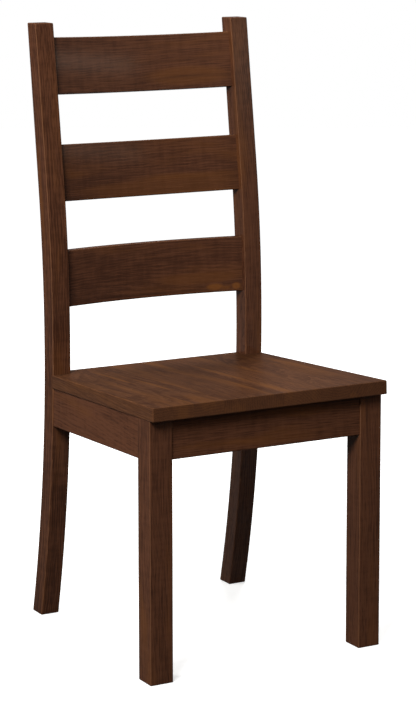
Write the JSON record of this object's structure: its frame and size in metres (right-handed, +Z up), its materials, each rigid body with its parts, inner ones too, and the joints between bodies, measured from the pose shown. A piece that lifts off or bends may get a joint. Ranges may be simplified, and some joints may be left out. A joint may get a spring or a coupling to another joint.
{
  "type": "side chair",
  "caption": "High-back wooden dining chair without arms: swept rear posts, bowed ladder-back slats, flat boarded seat on an apron frame, square front legs.",
  "frame": {"origin": "on the floor, under the middle of the chair", "axes": "+Z up, the sitter faces -Y, +X to the right as seen from the front"},
  "size_m": [0.4508, 0.5026, 1.063],
  "materials": {
    "stained_hardwood": "dark brown stain under a satin clear coat",
    "corner_block_wood": "sawn and stained",
    "dowel_wood": "plain",
    "screw_steel": "zinc plated"
  },
  "bodies": {
    "root": {"front_leg_left": "stained_hardwood", "front_leg_right": "stained_hardwood", "rear_post_left": "stained_hardwood", "rear_post_right": "stained_hardwood", "top_slat": "stained_hardwood", "middle_slat": "stained_hardwood", "bottom_slat": "stained_hardwood", "front_apron": "stained_hardwood", "rear_apron": "stained_hardwood", "side_apron_left": "stained_hardwood", "side_apron_right": "stained_hardwood", "seat_board_1": "stained_hardwood", "seat_board_2": "stained_hardwood", "seat_board_3": "stained_hardwood", "seat_board_4": "stained_hardwood", "seat_board_5": "stained_hardwood", "seat_board_6": "stained_hardwood", "corner_block_front_left": "corner_block_wood", "corner_block_front_right": "corner_block_wood", "corner_block_rear_left": "corner_block_wood", "corner_block_rear_right": "corner_block_wood", "front_apron_dowels": "dowel_wood", "rear_apron_dowels": "dowel_wood", "side_apron_left_dowels": "dowel_wood", "side_apron_right_dowels": "dowel_wood", "corner_block_screws": "screw_steel", "seat_screws": "screw_steel"}
  },
  "joints": []
}
